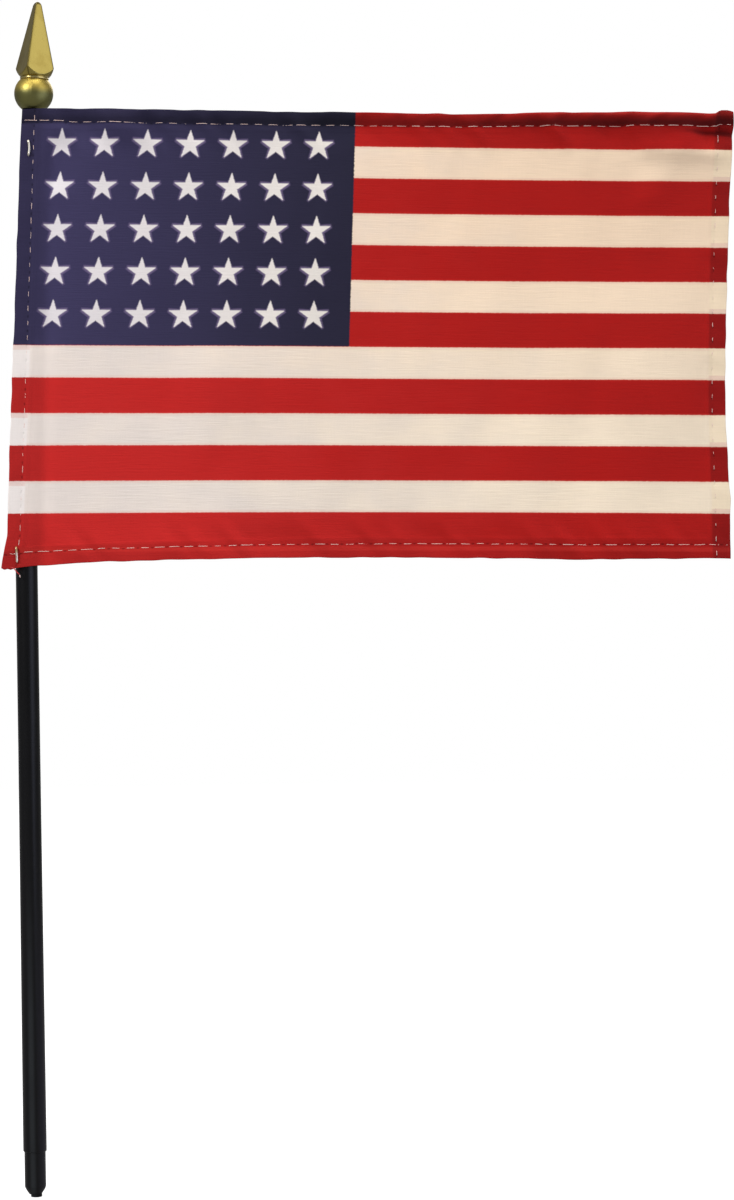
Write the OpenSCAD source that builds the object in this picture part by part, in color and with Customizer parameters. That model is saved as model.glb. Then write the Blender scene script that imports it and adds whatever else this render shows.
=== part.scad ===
// Hand-held stick flag: a hemmed cloth stapled to the front of a bowed plastic staff with a spear finial.
// +Z runs up the straight tapered shank, from the staff's foot at the origin.
// +X points to the fly, and the cloth lies in front of the staff, on its -Y side.

/* [Staff] */
// Diameter of the staff above its tapered shank
staff_d = 4.6; // [4:0.1:7]
// Diameter of the tapered shank at its lower shoulder
shank_d = 4.95; // [4.5:0.05:8]
// Height at which the straight shank ends and the bowed stretch begins
straight_l = 133.6; // [60:0.1:300]
// Length of plain round staff between the tapered shank and the bowed stretch
plain_l = 38; // [5:0.5:45]
// Length of the bowed stretch, up to the shoulder that the finial sits on
bowed_l = 100.7; // [70:0.1:200]
// Angle that the bowed stretch turns through
staff_bend = 3.2; // [0.2:0.1:8]
// Diameter of the thinner foot spigot
foot_d = 4.57; // [3:0.01:6]
// Height at which the foot spigot meets the shank's shoulder
foot_l = 9.8; // [4:0.1:20]
// Bevel on the shank's lower shoulder
shoulder_bevel = 0.15; // [0.05:0.01:0.5]
// Height of the chamfer at the foot's end
foot_chamfer_h = 1.65; // [0.5:0.05:3]
// Amount that the chamfer takes off the foot's radius
foot_chamfer_w = 1; // [0.2:0.05:1.2]
// Diameter of the gate nub left at the foot's end
nub_d = 2.4; // [1:0.1:2.6]
// Height of the gate nub
nub_h = 0.6; // [0.3:0.05:2]
// Diameter of the tenon that the finial is pressed on
tenon_d = 3.8; // [2:0.1:4]
// Length of the tenon
tenon_l = 5.8; // [3:0.1:6]

/* [Finial] */
// Diameter of the ball
ball_d = 8.4; // [8:0.1:14]
// Diameter of the neck band between the ball and the spear
neck_d = 6.25; // [5:0.05:7]
// Height of the neck band
neck_h = 0.45; // [0.2:0.05:2]
// Length of the spear above the neck band
spear_l = 16.3; // [10:0.1:40]
// Width of the spear across opposite ridges, at its widest
spear_w = 8.8; // [7.5:0.1:14]
// Height of the flare from the neck band to the spear's widest place
flare_h = 1.8; // [0.5:0.1:4]
// Width across opposite ridges at the blunt tip
tip_w = 1.4; // [0.5:0.1:3]
// Turn of the front ridge towards the hoist
spear_turn = 15.5; // [0:0.5:45]

/* [Cloth] */
// Length of the top edge
top_l = 152.6; // [100:0.1:250]
// Length of the bottom edge
bottom_l = 155.8; // [100:0.1:250]
// Length of the hoist edge, beside the staff
hoist_l = 98.6; // [60:0.1:125]
// Lean of the hoist edge from the shank's direction
hoist_lean = 2.95; // [0:0.05:5]
// Droop of the top edge below level
top_droop = 1.05; // [0:0.05:3]
// Inward bow of the top, fly, bottom and hoist edges
edge_bows = [0.3, 1.1, 1.3, 0.35]; // [0:0.05:3]
// Width of cloth that stands past the staff's axis at the top of the hoist
hoist_overlap = 2.3; // [1:0.1:4]
// Thickness of a single layer of cloth
cloth_t = 0.2; // [0.1:0.01:0.4]
// Thickness of a stitched hem
hem_t = 0.45; // [0.3:0.01:1]
// Width of the hems
hem_w = 4.4; // [3.5:0.1:8]
// Distance of the seams from the cloth's edges
seam_in = 2.9; // [2:0.1:3.4]

/* [Thread] */
// Diameter of the sewing thread
thread_d = 0.28; // [0.1:0.01:0.4]
// Distance from one stitch to the next
stitch_pitch = 3.1; // [2:0.05:5]
// Visible length of a stitch
stitch_l = 1.8; // [1:0.05:1.9]
// Length of the loose thread tail at the lower hoist corner
tail_l = 3.4; // [1:0.1:6]
// Angle of the tail below level
tail_droop = 22; // [0:1:60]

/* [Staples] */
// Wire diameter
wire_d = 0.5; // [0.3:0.05:0.8]
// Distance between the two legs of a staple
crown_w = 3.2; // [2:0.1:6]
// Length of the legs, from the cloth's face to their ends
leg_l = 4; // [2:0.1:5]
// Drop of the upper staple below the cloth's top corner
upper_staple_drop = 8.3; // [5:0.1:20]
// Offset of the upper staple from the staff's axis, towards the hoist
upper_staple_side = 0.3; // [0:0.05:1]
// Rise of the lower staple above the cloth's bottom corner
lower_staple_rise = 2.9; // [2.5:0.1:20]
// Plastic left between the lower staple's leg and the staff's side
lower_staple_wall = 0.25; // [0.2:0.05:1]
// Tilt of the lower staple
lower_staple_tilt = 4; // [0:0.5:5]
// Centreline radius of the bends between a staple's crown and its legs
staple_bend_r = 0.4; // [0.4:0.05:0.8]

/* [Fits] */
// Radial clearance of the tenon in the finial's bore
tenon_fit = 0.02; // [0.01:0.01:0.1]
// Space left above the tenon in the bore
bore_end_gap = 0.3; // [0.1:0.1:1]
// Radial clearance of the staple legs in the cloth
leg_fit = 0.01; // [0.01:0.01:0.05]
// Clearance between threads or crowns and the faces they lie on
thread_fit = 0.01; // [0.01:0.01:0.1]
// Gap between the finial's ball and the cloth's top corner
ball_gap = 0.45; // [0.3:0.05:3]
// Distance of the cloth's fold line from the staff's side
fold_side = 0.9; // [0.9:0.1:3]
// Half-width of the slit that lets the cloth turn about its fold line
fold_gap = 0.6; // [0.6:0.05:1]

/* [Hidden] */
$fn = 64;
STITCH_FN = 16;
EDGE_STEPS = 10;
REACH = 400;
SEAT_MARGIN = 0.2;
NECK_PROUD = 0.25;
CUT_MARGIN = 1;
TENON_ROOT = 0.5;

BLACK = [0.05, 0.05, 0.06];
GOLD = [0.75, 0.62, 0.3];
CLOTH = [0.75, 0.16, 0.15];
THREAD = [0.93, 0.91, 0.86];
STEEL = [0.8, 0.77, 0.7];

staff_r = staff_d / 2;
foot_r = foot_d / 2;
tenon_r = tenon_d / 2;
ball_r = ball_d / 2;
neck_r = neck_d / 2;
wire_r = wire_d / 2;
bend_r = bowed_l / (staff_bend * PI / 180);

// Centreline of the staff, as a function of height, and its lean there
function staff_x(z) = z <= straight_l ? 0 : bend_r - sqrt(bend_r ^ 2 - (z - straight_l) ^ 2);

// The shoulder that the finial sits on, and the heights of the ball's centre and of the neck band above it
seat = [bend_r * (1 - cos(staff_bend)), straight_l + bend_r * sin(staff_bend)];
ball_rise = sqrt(ball_r ^ 2 - (staff_r + SEAT_MARGIN) ^ 2);
neck_rise = ball_rise + sqrt(ball_r ^ 2 - (neck_r - NECK_PROUD) ^ 2);
ball_z = seat[1] + ball_rise * cos(staff_bend);

// Depths of the cloth's faces in front of the staff's axis
cloth_back = -(staff_r + thread_d + 2 * thread_fit);
cloth_front = cloth_back - hem_t;
needle_y = cloth_front - thread_fit - thread_d / 2;
bobbin_y = cloth_back + thread_fit + thread_d / 2;

// Corners of the cloth as [x, z], clockwise from the top of the hoist
cloth_top = ball_z - sqrt(max(0, ball_r ^ 2 - cloth_back ^ 2)) - ball_gap;
top_hoist = [staff_x(cloth_top) - hoist_overlap, cloth_top];
top_fly = top_hoist + top_l * [cos(top_droop), -sin(top_droop)];
bottom_hoist = top_hoist - hoist_l * [sin(hoist_lean), cos(hoist_lean)];
bottom_fly = bottom_hoist + [bottom_l, 0];
corners = [top_hoist, top_fly, bottom_fly, bottom_hoist];

// Points of the line about which the free cloth turns
fold_top = [staff_x(top_hoist[1]) + staff_r + fold_side, top_hoist[1]];
fold_bottom = [staff_x(bottom_hoist[1]) + staff_r + fold_side, bottom_hoist[1]];

function unit(v) = v / norm(v);
function corner(i, inset) =
    let (c = corners[i % 4])
    c + inset * (unit(corners[(i + 1) % 4] - c) + unit(corners[(i + 3) % 4] - c));
function edge_length(i, inset) = norm(corner(i + 1, inset) - corner(i, inset));
function edge_point(i, inset, t) =
    let (a = corner(i, inset), b = corner(i + 1, inset), along = unit(b - a))
    a + (b - a) * t + 4 * edge_bows[i] * t * (1 - t) * [along[1], -along[0]];
function outline(inset) =
    [for (i = [0:3]) for (k = [0:EDGE_STEPS - 1]) edge_point(i, inset, k / EDGE_STEPS)];
function fold_x(z) =
    fold_bottom[0] + (fold_top[0] - fold_bottom[0]) * (z - fold_bottom[1]) / (fold_top[1] - fold_bottom[1]);

upper_staple = [
    staff_x(top_hoist[1] - upper_staple_drop) - upper_staple_side,
    top_hoist[1] - upper_staple_drop
];
lower_staple = [
    staff_x(bottom_hoist[1] + lower_staple_rise) - (staff_r - wire_r - lower_staple_wall),
    bottom_hoist[1] + lower_staple_rise
];

// Draws a flat shape of the [x, z] plane between two depths
module upright(y0, y1) {
    translate([0, y1, 0])
        rotate([90, 0, 0])
            linear_extrude(y1 - y0)
                children();
}

// Moves to the shoulder under the finial, with +Z along the top of the staff
module at_seat() {
    translate([seat[0], 0, seat[1]])
        rotate([0, staff_bend, 0])
            children();
}

// Moves to the middle of a staple's crown, on the cloth's front face, with +Z along the crown
module at_staple(place, tilt) {
    translate([place[0], cloth_front, place[1]])
        rotate([0, -tilt, 0])
            children();
}

module leg_holes(place, tilt) {
    at_staple(place, tilt)
        for (side = [-1, 1])
            translate([0, -CUT_MARGIN, side * crown_w / 2])
                rotate([-90, 0, 0])
                    cylinder(h = CUT_MARGIN + leg_l + leg_fit, r = wire_r + leg_fit);
}

module all_leg_holes() {
    leg_holes(upper_staple, 0);
    leg_holes(lower_staple, lower_staple_tilt);
}

module staff() {
    color(BLACK) union() {
        rotate_extrude()
            polygon([
                [0, 0],
                [nub_d / 2, 0],
                [nub_d / 2, nub_h],
                [foot_r - foot_chamfer_w, nub_h],
                [foot_r, nub_h + foot_chamfer_h],
                [foot_r, foot_l],
                [shank_d / 2 - shoulder_bevel, foot_l],
                [shank_d / 2, foot_l + shoulder_bevel],
                [staff_r, straight_l - plain_l],
                [staff_r, straight_l],
                [0, straight_l]
            ]);
        translate([bend_r, 0, straight_l])
            rotate([90, 0, 180])
                rotate_extrude(angle = staff_bend)
                    translate([bend_r, 0])
                        circle(r = staff_r);
        at_seat() translate([0, 0, -TENON_ROOT])
            cylinder(h = tenon_l + TENON_ROOT, r = tenon_r);
    }
}

// One of the two crossing wedges whose common solid is the four-sided spear
module spear_wedge() {
    slope = (spear_w - tip_w) / (spear_l - flare_h);
    base_w = (spear_w + slope * flare_h) / sqrt(2);
    rotate([90, 0, 0])
        linear_extrude(base_w, center = true)
            polygon([
                [-base_w / 2, 0],
                [base_w / 2, 0],
                [tip_w / sqrt(8), spear_l],
                [-tip_w / sqrt(8), spear_l]
            ]);
}

module spear() {
    intersection() {
        rotate([0, 0, 45 - spear_turn]) {
            intersection() {
                spear_wedge();
                rotate([0, 0, 90]) spear_wedge();
            }
        }
        rotate_extrude()
            polygon([
                [0, 0],
                [neck_r, 0],
                [spear_w / 2, flare_h],
                [spear_w, flare_h],
                [spear_w, spear_l],
                [0, spear_l]
            ]);
    }
}

module finial() {
    color(GOLD) at_seat() difference() {
        union() {
            translate([0, 0, ball_rise]) sphere(r = ball_r);
            translate([0, 0, neck_rise]) cylinder(h = neck_h, r = neck_r);
            translate([0, 0, neck_rise + neck_h]) spear();
        }
        translate([0, 0, -ball_r]) cylinder(h = ball_r, r = ball_r);
        cylinder(h = tenon_l + bore_end_gap, r = tenon_r + tenon_fit);
    }
}

// The whole cloth: a single layer with the hems turned to the back
module cloth() {
    difference() {
        union() {
            upright(cloth_front, cloth_front + cloth_t) polygon(outline(0));
            upright(cloth_front, cloth_back) difference() {
                polygon(outline(0));
                polygon(outline(hem_w));
            }
        }
        all_leg_holes();
    }
}

// The half-space on one side of the fold line, a gap away from it: side 1 is the fly, -1 the hoist
module beside_fold(side) {
    along = unit(fold_top - fold_bottom);
    across = side * [along[1], -along[0]];
    near_low = fold_bottom - REACH * along + fold_gap * across;
    near_high = fold_top + REACH * along + fold_gap * across;
    upright(cloth_front - CUT_MARGIN, cloth_back + CUT_MARGIN)
        polygon([near_low, near_high, near_high + REACH * across, near_low + REACH * across]);
}

module hoist_strip() {
    color(CLOTH) intersection() {
        cloth();
        beside_fold(-1);
    }
}

module flag_field() {
    color(CLOTH) intersection() {
        cloth();
        beside_fold(1);
    }
}

// A bent wire: a crown clear of the cloth, a round bend at each end and two straight legs
module staple(place, tilt) {
    crown_y = -thread_fit - wire_r;
    bend_y = crown_y + staple_bend_r;
    at_staple(place, tilt) union() {
        translate([0, crown_y, 0])
            cylinder(h = crown_w - 2 * staple_bend_r, r = wire_r, center = true);
        for (side = [0, 1]) mirror([0, 0, side]) {
            translate([0, bend_y, crown_w / 2 - staple_bend_r])
                rotate([0, -90, 180])
                    rotate_extrude(angle = 90)
                        translate([staple_bend_r, 0])
                            circle(r = wire_r);
            translate([0, bend_y, crown_w / 2])
                rotate([-90, 0, 0])
                    cylinder(h = leg_l - bend_y, r = wire_r);
        }
    }
}

module staple_upper() {
    color(STEEL) staple(upper_staple, 0);
}

module staple_lower() {
    color(STEEL) staple(lower_staple, lower_staple_tilt);
}

// One straight stitch between two [x, z] points
module stitch(a, b, y) {
    translate([a[0], y, a[1]])
        rotate([0, atan2(b[0] - a[0], b[1] - a[1]), 0])
            cylinder(h = norm(b - a), d = thread_d, $fn = STITCH_FN);
}

function clear_of(staple, z) = abs(z - staple[1]) > crown_w / 2 + stitch_l;
function clear_of_staples(z) = clear_of(upper_staple, z) && clear_of(lower_staple, z);
function past_fold(p) = p[0] - fold_x(p[1]);

// The stitches of edge i at depth y, on the fly side of the fold line (side 1) or the hoist side (side -1)
module seam(i, side, y) {
    seam_l = edge_length(i, seam_in);
    count = floor((seam_l - stitch_pitch) / stitch_pitch);
    start = (seam_l - (count - 1) * stitch_pitch - stitch_l) / 2;
    for (k = [0:count - 1]) {
        a = edge_point(i, seam_in, (start + k * stitch_pitch) / seam_l);
        b = edge_point(i, seam_in, (start + k * stitch_pitch + stitch_l) / seam_l);
        beside = min(side * past_fold(a), side * past_fold(b)) > 2 * fold_gap;
        shown = beside && (i != 3 || clear_of_staples((a[1] + b[1]) / 2));
        if (shown) stitch(a, b, y);
    }
}

// The seams of the strip beside the staff: the hoist's own, and the ends of the top and bottom ones
module strip_seams(y) {
    seam(3, -1, y);
    seam(0, -1, y);
    seam(2, -1, y);
}

module hoist_needle_thread() {
    tail_start = bottom_hoist + [thread_d, -thread_d];
    tail_end = tail_start + tail_l * [cos(tail_droop), -sin(tail_droop)];
    color(THREAD) {
        strip_seams(needle_y);
        stitch(tail_start, tail_end, needle_y);
    }
}

module hoist_bobbin_thread() {
    color(THREAD) strip_seams(bobbin_y);
}

module top_needle_thread() {
    color(THREAD) seam(0, 1, needle_y);
}

module top_bobbin_thread() {
    color(THREAD) seam(0, 1, bobbin_y);
}

module fly_needle_thread() {
    color(THREAD) seam(1, 1, needle_y);
}

module fly_bobbin_thread() {
    color(THREAD) seam(1, 1, bobbin_y);
}

module bottom_needle_thread() {
    color(THREAD) seam(2, 1, needle_y);
}

module bottom_bobbin_thread() {
    color(THREAD) seam(2, 1, bobbin_y);
}

staff();
finial();
hoist_strip();
flag_field();
staple_upper();
staple_lower();
hoist_needle_thread();
hoist_bobbin_thread();
top_needle_thread();
top_bobbin_thread();
fly_needle_thread();
fly_bobbin_thread();
bottom_needle_thread();
bottom_bobbin_thread();
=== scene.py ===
"""Looks of the stick flag: printed hemmed cloth, twisted sewing thread, gold finial, black staff.

The model is in metres, in the row's frame. The shapes and the print on the cloth are worked out in
millimetres, and multiplied by MM where they reach the model. Places read by the hard pieces' materials,
and the floor, the lights and the camera, are in metres.
"""
import math

import bpy
import numpy as np
from mathutils import Matrix, Vector


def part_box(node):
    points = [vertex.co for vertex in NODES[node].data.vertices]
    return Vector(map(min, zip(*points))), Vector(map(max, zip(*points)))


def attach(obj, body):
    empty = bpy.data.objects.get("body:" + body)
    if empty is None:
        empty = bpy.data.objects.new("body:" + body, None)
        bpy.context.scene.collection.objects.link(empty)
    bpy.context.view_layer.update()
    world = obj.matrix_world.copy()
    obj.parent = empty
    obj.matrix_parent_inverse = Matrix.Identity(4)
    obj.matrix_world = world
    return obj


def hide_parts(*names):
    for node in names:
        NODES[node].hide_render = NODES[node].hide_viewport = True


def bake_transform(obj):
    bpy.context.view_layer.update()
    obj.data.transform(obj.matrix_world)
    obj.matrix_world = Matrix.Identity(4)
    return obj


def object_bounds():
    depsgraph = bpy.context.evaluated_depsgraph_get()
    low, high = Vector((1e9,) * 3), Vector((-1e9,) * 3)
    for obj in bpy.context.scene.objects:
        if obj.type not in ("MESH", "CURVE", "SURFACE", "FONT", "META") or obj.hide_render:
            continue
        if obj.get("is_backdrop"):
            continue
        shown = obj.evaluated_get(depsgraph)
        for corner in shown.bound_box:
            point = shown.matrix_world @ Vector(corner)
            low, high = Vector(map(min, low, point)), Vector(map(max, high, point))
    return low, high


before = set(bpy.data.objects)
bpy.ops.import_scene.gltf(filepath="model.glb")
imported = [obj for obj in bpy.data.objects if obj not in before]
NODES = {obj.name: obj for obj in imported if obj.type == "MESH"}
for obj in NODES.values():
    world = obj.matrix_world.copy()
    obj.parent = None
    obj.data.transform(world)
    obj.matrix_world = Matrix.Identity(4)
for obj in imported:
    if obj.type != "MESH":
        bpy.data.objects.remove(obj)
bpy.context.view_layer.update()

MM = 0.001
STAFF_BODY, FLAG_BODY = "staff_body", "flag_body"

# Sizes of the cloth and its sewing, as the CAD model has them, in millimetres
CLOTH_T = 0.2
HEM_T = 0.45
HEM_W = 4.4
SEAM_IN = 2.9
SEAM_END = 0.5
STITCH_PITCH = 3.1


# ---------------------------------------------------------------- the cloth's surface

def node_points(name):
    """The vertices of a CAD node, in millimetres."""
    mesh = NODES[name].data
    co = np.empty(len(mesh.vertices) * 3)
    mesh.vertices.foreach_get("co", co)
    return co.reshape(-1, 3) / MM


STRIP, FIELD = node_points("hoist_strip"), node_points("flag_field")
FRONT_Y = FIELD[:, 1].min()


def farthest(points, x_way, z_way):
    """The [x, z] of the point that lies farthest along a direction."""
    return points[np.argmax(points[:, 0] * x_way + points[:, 2] * z_way)][[0, 2]]


TOP_HOIST, BOTTOM_HOIST = farthest(STRIP, -1, 1), farthest(STRIP, -1, -1)
TOP_FLY, BOTTOM_FLY = farthest(FIELD, 1, 1), farthest(FIELD, 1, -1)


def bowed_edge(start, end, points):
    """A function that gives an edge's [x, z] at shares t of its length, through the CAD edge's middle."""
    middle = (start + end) / 2
    flat = points[:, [0, 2]]
    bow = flat[np.argmin(np.linalg.norm(flat - middle, axis=1))] - middle

    def at(t):
        t = np.asarray(t, float)[..., None]
        return start + (end - start) * t + 4 * t * (1 - t) * bow
    return at


top_edge = bowed_edge(TOP_HOIST, TOP_FLY, FIELD)
bottom_edge = bowed_edge(BOTTOM_HOIST, BOTTOM_FLY, FIELD)
hoist_edge = bowed_edge(TOP_HOIST, BOTTOM_HOIST, STRIP)
fly_edge = bowed_edge(TOP_FLY, BOTTOM_FLY, FIELD)


def gap(start, end):
    """The distance between two [x, z] places."""
    return float(np.linalg.norm(end - start))


TOP_L, BOTTOM_L = gap(TOP_HOIST, TOP_FLY), gap(BOTTOM_HOIST, BOTTOM_FLY)
HOIST_EDGE_L, FLY_EDGE_L = gap(TOP_HOIST, BOTTOM_HOIST), gap(TOP_FLY, BOTTOM_FLY)
# The mean length of the top and bottom edges, and of the hoist and fly edges
FLY_L = (TOP_L + BOTTOM_L) / 2
HOIST_L = (HOIST_EDGE_L + FLY_EDGE_L) / 2


def smooth(x, low, high):
    """0 below low, 1 above high, and an S-curve between them."""
    t = np.clip((x - low) / (high - low), 0, 1)
    return t * t * (3 - 2 * t)


def noise(x, seed):
    """Smooth value noise of one coordinate, between -1 and 1, that repeats nowhere on the cloth."""
    values = np.random.default_rng(seed).uniform(-1, 1, 512)
    x = np.asarray(x, float) + 128
    cell = np.floor(x).astype(int)
    t = x - cell
    t = t * t * (3 - 2 * t)
    return values[cell % 512] * (1 - t) + values[(cell + 1) % 512] * t


def noise2(x, y, seed):
    """Smooth value noise of two coordinates, between -1 and 1."""
    size = 256
    values = np.random.default_rng(seed).uniform(-1, 1, (size, size))
    x, y = np.asarray(x, float) + size / 2, np.asarray(y, float) + size / 2
    i, j = np.floor(x).astype(int), np.floor(y).astype(int)
    u, v = x - i, y - j
    u, v = u * u * (3 - 2 * u), v * v * (3 - 2 * v)
    low = values[i % size, j % size] * (1 - u) + values[(i + 1) % size, j % size] * u
    high = values[i % size, (j + 1) % size] * (1 - u) + values[(i + 1) % size, (j + 1) % size] * u
    return low * (1 - v) + high * v


def window(x, start, end, ramp):
    """1 between start and end, falling smoothly to 0 over a ramp outside them."""
    return smooth(x, start - ramp, start) * (1 - smooth(x, end, end + ramp))


def hump(x, half_width):
    """A bell curve that is 1 where x is 0."""
    return np.exp(-(x / half_width) ** 2)


def relief(a, b):
    """How far the cloth stands forward of its plane, in mm, at a from the hoist and b from the top edge."""
    from_top, from_bottom = b, HOIST_L - b
    from_hoist, from_fly = a, FLY_L - a
    free = smooth(a, 9, 50)
    # long shallow waves hang down from the top edge, and the field is a little uneven between them
    drape = 0.75 * np.sin((a - 0.30 * b) / 21 + 0.4) + 0.45 * np.sin((a + 0.35 * b) / 12.5 + 1.2)
    out = free * (0.75 * drape + 0.5 * noise2(a / 11, b / 26, 3) + 0.16 * noise2(a / 4.2, b / 12, 4))
    # puckers that the top and bottom seams draw up, slanting away from the stitches
    for dist, seed, depth in ((from_top, 11, 0.78), (from_bottom, 12, 0.42)):
        slant = a - 0.75 * b
        pucker = noise(slant / 2.9, seed) + 0.7 * noise(slant / 6.4, seed + 5)
        out += depth * hump(dist - SEAM_IN * 1.2, 3.4) * pucker * smooth(a, 2, 12)
    for dist, seed, depth in ((from_hoist, 21, 0.06), (from_fly, 22, 0.16)):
        out += depth * hump(dist - SEAM_IN * 0.8, 2.6) * noise((b + 0.5 * dist) / 3.2, seed)
    # the stitches pull a shallow valley along each seam
    for dist in (from_top, from_bottom, from_hoist, from_fly):
        out -= 0.13 * hump(dist - SEAM_IN, 0.5)
    # the top hem leans forward above its seam, more towards the fly
    lean = 0.55 * smooth(a, 4, 30) + 0.75 * smooth(a, 60, 105) + 0.7 * smooth(a, 100, 134)
    lean = lean - 0.35 * smooth(a, 146, 152)
    rise = np.clip(1 - from_top / 3.9, 0, 1) ** 1.1 - 0.42 * np.exp(-from_top / 0.4)
    out += lean * (1 + 0.34 * noise(a / 5.5, 31) + 0.22 * noise((a + 1.4 * b) / 2.4, 32)) * rise
    # the bottom hem kicks forward a little too, in places
    out += 0.5 * smooth(noise(a / 9, 33), -0.3, 0.8) * free * np.clip(1 - from_bottom / 4.2, 0, 1)
    # below the overhanging hem a bulge catches the light, and near the fly a valley cuts in above it
    out += 0.9 * hump(b - 8.2 - (a - 140) * 0.08, 2.2) * window(a, 137, 150, 5)
    crease = 3.2 + np.maximum(a - 138, 0) * 0.13
    valley = smooth(from_top, 2.8, crease) * np.exp(-np.maximum(from_top - crease, 0) / 0.8)
    out -= (0.15 + 1.6 * smooth(a, 144, 152)) * valley * smooth(a, 134, 140)
    # the cloth dips back where it leaves the staff
    out -= 0.42 * hump(a - 5.7 - 2.4 * b / HOIST_L, 1.7) * smooth(b, 5, 20)
    # a crease beside the hoist hem, under the first star
    fold = a + 0.03 * (b - 10)
    dip = smooth(fold, 5.0, 7.8) * (1 - smooth(fold, 7.8, 15))
    out -= dip * (0.75 * window(b, 9, 14, 5) + 0.25 * window(b, 22, 46, 6))
    # a soft pull that leaves the upper fly corner downwards
    pull = (a - 141) * 0.8 + (b - 10) * 0.35
    out += 0.35 * hump(pull, 3.0) * window(b, 8, 18, 5)
    return out


def thickness(a, b):
    """The thickness of the cloth: one layer, the hems, and a rounded fold at the very edge."""
    dist = np.minimum(np.minimum(a, FLY_L - a), np.minimum(b, HOIST_L - b))
    full = HEM_T - (HEM_T - CLOTH_T) * smooth(dist, HEM_W - 0.12, HEM_W + 0.12)
    round_r = HEM_T / 2
    x = np.clip(dist / round_r, 0, 1)
    return full * np.sqrt(np.clip(1 - (1 - x) ** 2, 0, 1))


# How far each hem stands outside its CAD edge, in mm, at places along it measured from the hoist or the top.
# It fades out over EDGE_FADE_MM of cloth.
EDGE_FADE_MM = 4.5
TOP_OUT = ((0, 6, 25, 60, 78, 95, 112, 129, 143, 147.5, 149.2, 149.7, 151.6, 152.6),
           (0.05, 0.35, 0.2, 0.0, -0.2, -0.4, -0.1, 0.0, -0.3, -0.5, -0.5, 0.1, 0.05, -0.3))
BOTTOM_OUT = ((0, 0.7, 1.2, 2.0, 2.6, 4.0, 8, 20, 55, 90, 123, 148, 155.8),
              (0.0, 0.45, 0.2, 0.45, 0.1, -0.05, -0.25, -0.5, -0.22, 0.27, 0.75, 0.3, 0.1))
HOIST_OUT = ((0, 6, 13, 39, 58, 75, 88, 91.5, 94, 97, 98.6),
             (-0.3, -0.15, 0.08, 0.12, 0.09, 0, -0.25, -0.4, 0.0, 0.4, 0.55))
FLY_OUT = ((0, 3, 12, 19, 36, 53, 66, 79, 83, 90, 95.8),
           (0.0, 0.35, 0.35, 0.2, 0.12, -0.12, -0.12, 0.4, 0.7, 0.35, 0.3))


def plane_point(a, b):
    """The [x, z] of the cloth at a from the hoist and b from the top, with the hems' small unevenness."""
    s, t = np.clip(a / FLY_L, 0, 1), np.clip(b / HOIST_L, 0, 1)
    along = top_edge(s) * (1 - t)[..., None] + bottom_edge(s) * t[..., None]
    down = hoist_edge(t) * (1 - s)[..., None] + fly_edge(t) * s[..., None]
    corners = (TOP_HOIST * ((1 - s) * (1 - t))[..., None] + TOP_FLY * (s * (1 - t))[..., None]
               + BOTTOM_HOIST * ((1 - s) * t)[..., None] + BOTTOM_FLY * (s * t)[..., None])
    p = along + down - corners
    for (places, outward), run, dist, axis, way, seed in (
        (TOP_OUT, s * TOP_L, b, 1, 1, 41), (BOTTOM_OUT, s * BOTTOM_L, HOIST_L - b, 1, -1, 42),
        (HOIST_OUT, t * HOIST_EDGE_L, a, 0, -1, 43), (FLY_OUT, t * FLY_EDGE_L, FLY_L - a, 0, 1, 44),
    ):
        uneven = np.interp(run, places, outward) + 0.09 * noise(run / 3.2, seed)
        p[..., axis] += way * uneven * np.exp(-dist / EDGE_FADE_MM)
    return p


# The hems are turned to the back, so the front face stays nearly level over them
HEM_STEP_SHARE = 0.35


def cloth_point(a, b, side):
    """The cloth's surface in metres: side -1 is the front face, 1 the back and 0 the middle."""
    a, b = np.broadcast_arrays(np.asarray(a, float), np.asarray(b, float))
    p = plane_point(a, b)
    thick = thickness(a, b)
    level = FRONT_Y + HEM_T / 2 - (HEM_T - thick) * HEM_STEP_SHARE
    y = level - relief(a, b) + side * thick / 2
    return np.stack([p[..., 0], y, p[..., 1]], axis=-1) * MM


# ---------------------------------------------------------------- mesh helpers

def new_object(name, verts, faces):
    mesh = bpy.data.meshes.new(name)
    mesh.from_pydata([tuple(v) for v in verts], [], faces)
    mesh.validate()
    mesh.update()
    mesh.shade_smooth()
    obj = bpy.data.objects.new(name, mesh)
    bpy.context.scene.collection.objects.link(obj)
    return obj


def add_attribute(obj, name, kind, values):
    attribute = obj.data.attributes.new(name, kind, "POINT")
    key = "value" if kind == "FLOAT" else "vector"
    attribute.data.foreach_set(key, np.asarray(values, np.float32).ravel())


# How the print hangs: it is square at CANTON_FOOT_Z, leans above and below it, and droops towards the fly
PRINT_TOP_Z = 234.0
CANTON_FOOT_Z = 183
PRINT_LEAN, LEAN_LOSS = 0.0733, 0.000428
DROOP, DROOP_GAIN = 0.02, 0.00015
SAG, SAG_MIDDLE, SAG_HALF_W, SAG_H = 0.45, 74, 78, 48


def print_place(points):
    """Where points of the hung cloth lie on the print, in mm: right from the hoist and down from the top."""
    x, z = points[:, 0] / MM, points[:, 2] / MM
    rise = z - CANTON_FOOT_Z
    x_print = x - (PRINT_LEAN - LEAN_LOSS * x) * rise
    sag = SAG * ((x - SAG_MIDDLE) / SAG_HALF_W) ** 2 * np.maximum(0, -rise) / SAG_H
    droop = x * (DROOP + DROOP_GAIN * rise) + sag
    return np.stack([x_print, PRINT_TOP_Z - z - droop, np.zeros_like(x)], axis=-1)


EDGE_LINES = [0.0, 0.03, 0.08, 0.15, 0.25, HEM_W - 0.14, HEM_W, HEM_W + 0.14]
CLOSEST_LINES_MM = 0.06


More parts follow.
